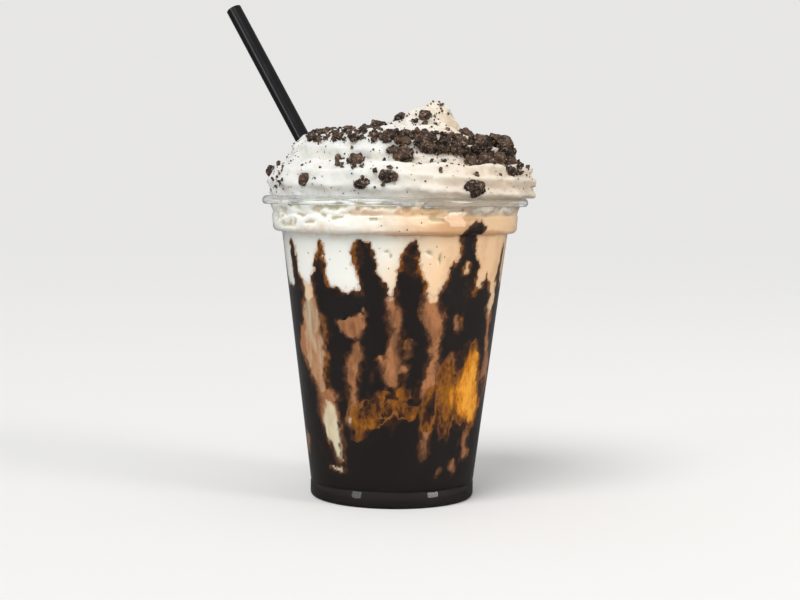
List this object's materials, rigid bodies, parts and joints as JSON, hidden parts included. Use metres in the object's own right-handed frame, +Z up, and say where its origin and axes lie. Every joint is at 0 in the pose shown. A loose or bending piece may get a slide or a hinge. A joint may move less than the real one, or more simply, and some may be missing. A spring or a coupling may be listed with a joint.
{
  "type": "cookies and cream milkshake",
  "caption": "Milkshake with chocolate sauce in a clear tapered cup, topped with a whipped cream swirl and crushed chocolate cookies, with a straw.",
  "frame": {"origin": "centre of the cup's foot, on the surface that it stands on", "axes": "+Z up along the cup's axis; -Y is the front, and the straw leans to -X and a little back"},
  "size_m": [0.1167, 0.0981, 0.1831],
  "materials": {
    "clear_plastic": "clear, polished",
    "chocolate": "wet, near black chocolate sauce",
    "shake": "beige shake streaked with chocolate",
    "cream": "soft whipped cream",
    "black_plastic": "glossy black",
    "cookie": "dark, dry broken cookie"
  },
  "bodies": {
    "root": {"cup": "clear_plastic", "chocolate_sauce": "chocolate", "milkshake": "shake", "whipped_cream": "cream", "straw": "black_plastic", "cookie_01": "cookie", "cookie_02": "cookie", "cookie_03": "cookie", "cookie_04": "cookie", "cookie_05": "cookie", "cookie_06": "cookie", "cookie_07": "cookie", "cookie_08": "cookie", "cookie_09": "cookie", "cookie_10": "cookie", "cookie_11": "cookie", "cookie_12": "cookie", "cookie_13": "cookie", "cookie_14": "cookie", "cookie_15": "cookie", "cookie_16": "cookie", "cookie_17": "cookie", "cookie_18": "cookie", "cookie_19": "cookie", "cookie_20": "cookie", "cookie_21": "cookie", "cookie_22": "cookie", "cookie_23": "cookie", "cookie_24": "cookie", "cookie_25": "cookie", "cookie_26": "cookie", "cookie_27": "cookie", "cookie_28": "cookie", "cookie_29": "cookie", "cookie_30": "cookie", "cookie_31": "cookie", "cookie_32": "cookie"}
  },
  "joints": []
}
